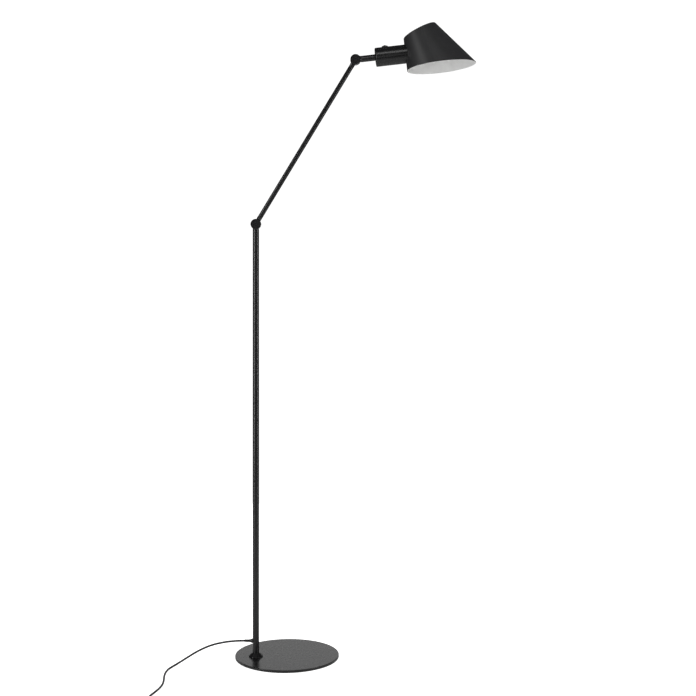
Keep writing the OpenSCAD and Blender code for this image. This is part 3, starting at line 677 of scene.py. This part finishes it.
def wound(name, material, place, radius, low, high, pitch, bar, steps=24, sides=8, run_out=0.06):
    """A bar wound round the place's Z axis from low to high; all sizes in millimetres."""
    length = high - low
    values = {"Radius": radius * MM, "Length": length * MM, "Turns": length / pitch, "Bar": bar * MM,
              "Run-out": run_out, "Steps": steps, "Sides": sides}
    piece = run_tree(name, winder, values, material)
    outward(piece)
    piece.data.transform(place @ Matrix.Translation((0, 0, low * MM)))
    soften_shading(piece, 60)
    return piece


def merged(piece, *others):
    """Joins other pieces to a piece, as separate shells of one mesh."""
    mesh = bmesh.new()
    mesh.from_mesh(piece.data)
    for other in others:
        mesh.from_mesh(other.data)
        bpy.data.objects.remove(other)
    mesh.to_mesh(piece.data)
    mesh.free()
    return piece


def threaded(node, place, radius, low, high, pitch=1.0):
    """A merged copy of a CAD screw or stud with a fine thread on it."""
    piece = rolled(node, bodies[node], 0.15, segments=2)
    thread = wound("thread", finishes[slots[node]], place, radius, low, high, pitch, 0.32 * pitch)
    return merged(piece, thread)


# %% Threads of the studs and the foot's screw
THREAD_R = 4.9
for stud in ("middle_stud", "top_stud"):
    low = span(stud, on_pole)[0].z
    threaded(stud, on_pole, THREAD_R, low + 0.5, low + 10.5)
high = span("neck_stud", along_head)[1].z
threaded("neck_stud", along_head, THREAD_R, high - 6, high - 0.5)
high = span("base_screw", on_pole)[1].z
threaded("base_screw", on_pole, THREAD_R, high - 15, high - 0.6, 1.5)
nipple_lo, nipple_hi = span("holder_nipple", along_head)
threaded("holder_nipple", along_head, THREAD_R, nipple_lo.z + 0.4, nipple_hi.z - 0.4)

# %% [markdown]
# ## Bulb and lamp holder
# The bulb is a ball of opal plastic on a white neck, with the round-crested thread that every such cap
# has, a black glass button and a contact at the tip. The holder is a moulded barrel with a threaded brass
# shell inside, and a ring that pulls the shade against the housing, ribbed for the fingers.

# %% Bulb
globe_hi = span("bulb_globe", along_head)[1]
globe_r = globe_hi.x
globe_z = globe_hi.z - globe_r
start = math.radians(50)
arc = [start + (math.pi - start) * k / 40 for k in range(41)]
ball = [(globe_r * math.sin(a), globe_z - globe_r * math.cos(a)) for a in arc]
ball = [(0, ball[0][1] + 0.4), (ball[0][0] - 0.4, ball[0][1] + 0.4)] + ball
install(turned("bulb_ball", ball, finishes["opal"], along_head, columns=96, closed=False),
        "head", "opal", "bulb_globe")
cap_lo, cap_hi = span("bulb_cap", along_head)
cap_r = cap_hi.x
neck_r = globe_r * math.sin(start)
bulb_neck = rounded([(0, cap_hi.z, 0), (cap_r - 0.6, cap_hi.z, 0.3), (cap_r + 0.6, cap_hi.z + 4, 3),
                     (neck_r - 0.1, ball[0][1] - 0.5, 0.4), (0, ball[0][1] - 0.5, 0)])
install(turned("bulb_neck", bulb_neck, finishes["white_plastic"], along_head, columns=96, closed=False),
        "head", "white_plastic", "bulb_body")

# %% Bulb cap
PITCH = 3.6
shell = rounded([
    (0, cap_lo.z + 2, 0), (9, cap_lo.z + 2.6, 1), (cap_r - 1.1, cap_lo.z + 5, 1),
    (cap_r - 1.1, cap_hi.z - 3, 0.3), (cap_r, cap_hi.z - 1.8, 0.3), (cap_r, cap_hi.z, 0.2),
    (0, cap_hi.z, 0)])
cap = turned("bulb_screw_cap", shell, finishes["nickel"], along_head, columns=96, closed=False)
crests = wound("crests", finishes["nickel"], along_head, cap_r - 1.5, cap_lo.z + 6, cap_hi.z - 3,
               PITCH, 1.5, steps=64, sides=12, run_out=0.1)
merged(cap, crests)
tip = rounded([(0, cap_lo.z, 0), (4.2, cap_lo.z, 0.8), (4.8, cap_lo.z + 1.2, 0.2), (0, cap_lo.z + 1.2, 0)])
contact = turned("bulb_tip_contact", tip, finishes["brass"], along_head, columns=48, closed=False)
glass_outline = rounded([(0, cap_lo.z + 1, 0), (5, cap_lo.z + 1, 0.5), (9.4, cap_lo.z + 3, 0.4),
                         (0, cap_lo.z + 3, 0)])
glass = turned("bulb_tip_glass", glass_outline, finishes["black_plastic"], along_head, columns=48,
               closed=False)
install(cap, "head", "nickel", "bulb_cap")
install(contact, "head", "brass")
install(glass, "head", "black_plastic")


# %% Lugs in a ring
def lugs_tree():
    """Round bars that stand parallel to Z, evenly round a circle."""
    inputs = [("Count", "Int"), ("Circle", "Float"), ("Bar", "Float"), ("Length", "Float")]
    tree, values = new_tree("lugs", inputs)
    sockets = {"Vertices": values["Count"], "Radius": values["Circle"]}
    circle = add_node(tree, "GeometryNodeMeshCircle", sockets).outputs[0]
    sockets = {"Vertices": 10, "Radius": values["Bar"], "Depth": values["Length"]}
    bar = add_node(tree, "GeometryNodeMeshCylinder", sockets).outputs[0]
    sockets = {"Points": circle, "Instance": bar}
    return end_tree(tree, values, add_node(tree, "GeometryNodeInstanceOnPoints", sockets).outputs[0])


lugs = lugs_tree()


def ribbed(piece, material, place, count, circle, bar, low, high):
    """Adds a ring of ribs to a turned piece; all sizes in millimetres."""
    values = {"Count": count, "Circle": circle * MM, "Bar": bar * MM, "Length": (high - low) * MM}
    ribs = run_tree("ribs", lugs, values, material)
    ribs.data.transform(place @ Matrix.Translation((0, 0, (low + high) / 2 * MM)))
    soften_shading(ribs, 50)
    return merged(piece, ribs)


# %% Ring that holds the shade, and the barrel of the holder
ring_lo, ring_hi = span("shade_ring", along_head)
inner = holder_hi.x + SLIDING_FIT
ring = rounded([(inner, ring_lo.z, 0), (ring_hi.x, ring_lo.z, 0.4), (ring_hi.x, ring_hi.z - 1, 0.5),
                (ring_hi.x - 1.2, ring_hi.z, 0.5), (inner, ring_hi.z, 0.3)])
ring = turned("shade_ring_nut", ring, finishes["nylon"], along_head, columns=96)
ribbed(ring, finishes["nylon"], along_head, 30, ring_hi.x, 0.7, ring_lo.z + 0.4, ring_hi.z - 1.2)
install(ring, "head", "nylon", "shade_ring")
barrel = rolled("lamp_holder", "head", 0.3)
crests = wound("crests", finishes["black_plastic"], along_head, holder_hi.x - 0.25, ring_hi.z - 4,
               holder_hi.z - 1, 2.0, 0.6, steps=64, run_out=0.08)
merged(barrel, crests)
shell_lo, shell_hi = span("holder_shell", along_head)
sleeve = rolled("holder_shell", "head", 0.12, segments=2)
crests = wound("crests", finishes["brass"], along_head, shell_hi.x - 0.4, shell_lo.z + 2,
               shell_hi.z - 2, PITCH, 0.7, steps=48, run_out=0.1)
merged(sleeve, crests)

# %% [markdown]
# ## The push switch
# The button has a dished top for the fingertip, and under it a spring pushes back. The spring is wound by
# the same tree as the threads, but from a thinner bar and with no run-out.

# %% Button and spring
# Known fault: the outline lacks a last corner on the axis, (0, button_hi.z, 0). Its upper fillet therefore
# turns inwards too low down, and the head comes out as a stem that is too thin for its hole.
DISH_EDGE = 1.2
DISH_DEPTH = 0.35
button_lo, button_hi = span("switch_button", at_switch)
r = button_hi.x
button_outline = rounded([(0, button_lo.z, 0), (r, button_lo.z, 0.3), (r, button_hi.z, 0.7)])[:-1]
for k in range(9):
    dished = button_hi.z - DISH_DEPTH * math.sin(math.pi * k / 16)
    button_outline.append(Vector(((r - DISH_EDGE) * (1 - k / 8), dished)))
button = turned("push_button", button_outline, finishes["black_plastic"], at_switch, columns=48,
                closed=False)
install(button, "button", "black_plastic", "switch_button")
spring_lo, spring_hi = span("switch_spring", at_switch)
spring = wound("button_spring", finishes["steel"], at_switch, 2.4, spring_lo.z + 0.3, spring_hi.z - 0.3,
               (spring_hi.z - spring_lo.z - 0.6) / 5, 0.3, run_out=0.0)
install(spring, "head", "steel", "switch_spring")
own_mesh(spring)

# %% [markdown]
# ## Cord, relief and plug
# The cord is a curve, so its own line is its centreline and Blender can measure it. The relief is a soft
# moulding that gets thinner and more flexible away from the pole, with grooves that let it bend. The plug
# is a flat moulded one, ribbed where the fingers pull.


# %% Cord
def curve_tube(name, line, diameter, material):
    """A round cord along one open line."""
    data = bpy.data.curves.new(name, "CURVE")
    data.dimensions = "3D"
    data.bevel_depth = diameter / 2
    data.bevel_resolution = 5
    data.use_fill_caps = True
    spline = data.splines.new("POLY")
    spline.points.add(len(line) - 1)
    for point, place in zip(spline.points, line):
        point.co = (*place, 1)
    spline.use_smooth = True
    data.materials.append(material)
    piece = bpy.data.objects.new(name, data)
    scene.collection.objects.link(piece)
    return piece


cord = curve_tube("mains_cord", cord_line, CORD_D * MM, finishes["black_rubber"])
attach(cord, "stand")
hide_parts("power_cord", "cord_coil", "cord_tail")

# %% Relief on the pole
relief_lo, relief_hi = span("cord_relief", on_pole)
exit_z = (relief_lo.z + relief_hi.z) / 2
from_pole = on_pole @ Matrix.Translation((0, 0, exit_z * MM)) @ Matrix.Rotation(-math.pi / 2, 4, "Y")
end = -relief_lo.x
cord_hole = CORD_D / 2 + 0.05
barb = pole_r - 1.6
sleeve_outline = [
    (cord_hole, barb - 1, 0), (5, barb - 1, 0.2), (5, barb, 0.1), (3.9, barb, 0), (3.9, pole_r - 0.6, 0),
    (5.5, pole_r - 0.6, 0), (5.5, pole_r + 1, 0.5), (4.1, pole_r + 5, 0.6)]
GROOVES = 4
for groove in range(GROOVES):
    z = pole_r + 6 + groove * 1.6
    r = 3.85 - 0.16 * groove
    sleeve_outline += [
        (r, z, 0.12), (r - 0.7, z + 0.3, 0.12), (r - 0.7, z + 0.7, 0.12), (r - 0.08, z + 1, 0.12)]
sleeve_outline += [(CORD_D / 2 + 0.6, end, 0.3), (cord_hole, end, 0)]
relief = turned("cord_relief_sleeve", rounded(sleeve_outline, steps=3), finishes["black_rubber"], from_pole,
                columns=48)
install(relief, "stand", "black_rubber", "cord_relief")


# %% Ribs in a row
def ribs_tree():
    """Round bars that lie parallel to Y, one after another along X."""
    inputs = [("Count", "Int"), ("Step", "Vector"), ("Bar", "Float"), ("Length", "Float")]
    tree, values = new_tree("ribs", inputs)
    sockets = {"Count": values["Count"], "Offset": values["Step"]}
    row = add_node(tree, "GeometryNodeMeshLine", sockets).outputs[0]
    sockets = {"Vertices": 12, "Radius": values["Bar"], "Depth": values["Length"]}
    bar = add_node(tree, "GeometryNodeMeshCylinder", sockets).outputs[0]
    sockets = {"Points": row, "Instance": bar, "Rotation": (math.pi / 2, 0, 0)}
    return end_tree(tree, values, add_node(tree, "GeometryNodeInstanceOnPoints", sockets).outputs[0])


ribs = ribs_tree()

# %% Plug
plug_lo, plug_hi = span("plug_body", on_floor)
pins_lo, pins_hi = span("plug_pins", on_floor)
plug_y = (plug_lo.y + plug_hi.y) / 2
plug = rolled("plug_body", "stand", 2.2, segments=5)
GRIP_RIBS = 6
GRIP_STEP = 2.6
GRIP_LENGTH = 20
values = {"Count": GRIP_RIBS, "Step": (GRIP_STEP * MM, 0, 0), "Bar": 0.6 * MM, "Length": GRIP_LENGTH * MM}
grip = run_tree("grip", ribs, values, finishes["black_rubber"])
grip.data.transform(Matrix.Translation(Vector((plug_hi.x - 24, plug_y, plug_hi.z - 0.1)) * MM))
soften_shading(grip, 50)
merged(plug, grip)
metal = []
sleeves = []
length = pins_hi.x - pins_lo.x
for y in (pins_lo.y + 2, pins_hi.y - 2):
    place = Matrix.Translation(Vector((pins_lo.x, y, (pins_lo.z + pins_hi.z) / 2)) * MM) @ QUARTER
    pin = rounded([(0, -2, 0), (2, -2, 0), (2, length, 1.2), (0, length, 0)], steps=6)
    metal.append(turned("pins", pin, finishes["nickel"], place, columns=32, closed=False))
    sleeve = [(2.02, 0), (2.12, 0.05), (2.12, length * 0.52), (2.02, length * 0.53)]
    sleeves.append(turned("pin_sleeves", sleeve, pin_sleeve, place, columns=32))
pins = install(merged(*metal), "stand", "nickel", "plug_pins")
sleeves = install(merged(*sleeves), "stand", "black_plastic")

# %% [markdown]
# A hook-and-loop band holds the coil together. It is a rounded rectangle with a rounded hole, so a filled
# 2-D curve with a little depth makes it more simply than a mesh could.

# %% Tie round the coil
TIE_TURN = math.radians(TIE_AT)
TIE_T = 0.8
TIE_W = 9


def loop(data, half_x, half_y, corner, steps=6):
    """Adds a closed rounded rectangle to a 2-D curve, in metres."""
    spline = data.splines.new("POLY")
    points = []
    for quarter in range(4):
        turn = math.pi / 2 * quarter
        x = (half_x - corner) * (1 if quarter in (0, 3) else -1)
        y = (half_y - corner) * (1 if quarter < 2 else -1)
        for k in range(steps + 1):
            angle = turn + math.pi / 2 * k / steps
            points.append(((x + corner * math.cos(angle)) * MM, (y + corner * math.sin(angle)) * MM, 0, 1))
    spline.points.add(len(points) - 1)
    for point, place in zip(spline.points, points):
        point.co = place
    spline.use_cyclic_u = True


band = bpy.data.curves.new("tie", "CURVE")
band.dimensions = "2D"
band.fill_mode = "BOTH"
half_x = (max(COIL_RADII) - min(COIL_RADII) + CORD_D) / 2 + 0.2
half_y = (max(COIL_HEIGHTS) - min(COIL_HEIGHTS) + CORD_D) / 2 + 0.2
loop(band, half_x + TIE_T, half_y + TIE_T, 3.4)
loop(band, half_x, half_y, 2.6)
band.extrude = TIE_W / 2 * MM
band.materials.append(finishes["foam"])
tie = bpy.data.objects.new("coil_tie", band)
scene.collection.objects.link(tie)
band_mesh = bpy.data.meshes.new_from_object(tie.evaluated_get(bpy.context.evaluated_depsgraph_get()))
bpy.data.objects.remove(tie)
tie = bpy.data.objects.new("coil_tie", band_mesh)
scene.collection.objects.link(tie)
outward(tie)
middle = (min(COIL_RADII) + max(COIL_RADII)) / 2
out = Vector((math.cos(TIE_TURN), math.sin(TIE_TURN), 0))
place = COIL_AT + out * middle + Vector((0, 0, half_y + TIE_T))
turn = Matrix((out, Vector((0, 0, 1)), out.cross(Vector((0, 0, 1))))).transposed().to_4x4()
tie.data.transform(Matrix.Translation(place * MM) @ turn)
soften_shading(tie)
install(tie, "stand", "black_rubber")

# %% [markdown]

# %% [markdown]
# ## Light
# A black lamp is drawn by its reflections. A tall softbox at the left gives each tube one bright line and
# the shade a soft band; a weaker one at the right keeps the far side from closing up, and two at the front
# lift the housing and the flat faces of the knuckles. A low strip behind is what the foot's top mirrors
# towards the camera. One more, overhead, only brightens the floor. The floor is pale and bright enough to
# light the shade's white inside from below, and the background is white to the camera only, so that the
# black parts aren't washed out by it.


# %% Floor and background
def shader(tree, kind, **sockets):
    """A shader node with some of its sockets set."""
    return add_node(tree, kind, sockets).outputs[0]


FLOOR_R = 2.2
bpy.ops.mesh.primitive_circle_add(vertices=96, radius=FLOOR_R, fill_type="NGON", location=(0, 0, 0))
floor = bpy.context.object
floor.name = "floor"
floor_finish = bpy.data.materials.new("pale_floor")
floor_finish.use_nodes = True
surface = floor_finish.node_tree.nodes["Principled BSDF"]
surface.inputs["Base Color"].default_value = (0.85, 0.85, 0.85, 1)
surface.inputs["Roughness"].default_value = 0.9
surface.inputs["Specular IOR Level"].default_value = 0.0
surface.inputs["Emission Color"].default_value = (1, 1, 1, 1)
seen_by_camera = add_node(floor_finish.node_tree, "ShaderNodeLightPath").outputs["Is Camera Ray"]
floor_finish.node_tree.links.new(seen_by_camera, surface.inputs["Emission Strength"])
floor.data.materials.append(floor_finish)

world = bpy.data.worlds.new("studio")
scene.world = world
world.use_nodes = True
tree = world.node_tree
tree.nodes.clear()
seen = shader(tree, "ShaderNodeBackground", Color=(1, 1, 1, 1), Strength=1.1)
lit = shader(tree, "ShaderNodeBackground", Color=(1, 1, 1, 1), Strength=0.05)
camera_ray = add_node(tree, "ShaderNodeLightPath").outputs["Is Camera Ray"]
both = add_node(tree, "ShaderNodeMixShader", {0: camera_ray, 1: lit, 2: seen}).outputs[0]
add_node(tree, "ShaderNodeOutputWorld", {"Surface": both})
scene.view_settings.view_transform = "Standard"


# %% Softboxes
def softbox(name, place, aim, width, height, power, mirrored=True):
    """A rectangular light at a place, turned to face a point. The camera doesn't see it, and if it isn't
    mirrored, no gloss shows it either."""
    lamp = bpy.data.lights.new(name, "AREA")
    lamp.shape = "RECTANGLE"
    lamp.size = width
    lamp.size_y = height
    lamp.energy = power
    holder = bpy.data.objects.new(name, lamp)
    holder.location = place
    holder.rotation_euler = (Vector(aim) - Vector(place)).to_track_quat("-Z", "Y").to_euler()
    holder.visible_camera = False
    holder.visible_glossy = mirrored
    scene.collection.objects.link(holder)


softbox("key", (-1.9, -1.45, 1.3), (0, 0, 0.9), 0.35, 2.4, 34)
softbox("fill", (2.2, -1.1, 1.2), (0.1, 0, 0.9), 0.3, 2.2, 20)
softbox("front", (0.3, -2.3, 2.9), (0.1, 0, 1.0), 1.6, 0.7, 12)
softbox("top", (0.3, 0.3, 3.4), (0.1, 0, 0.0), 2.2, 1.0, 44, mirrored=False)
softbox("low", (0.2, -3.6, 0.9), (0.1, 0, 0.9), 0.8, 0.8, 3)
softbox("strip", (0.0, 2.6, 0.85), (0, 0, 0.0), 3.0, 0.6, 5.5)
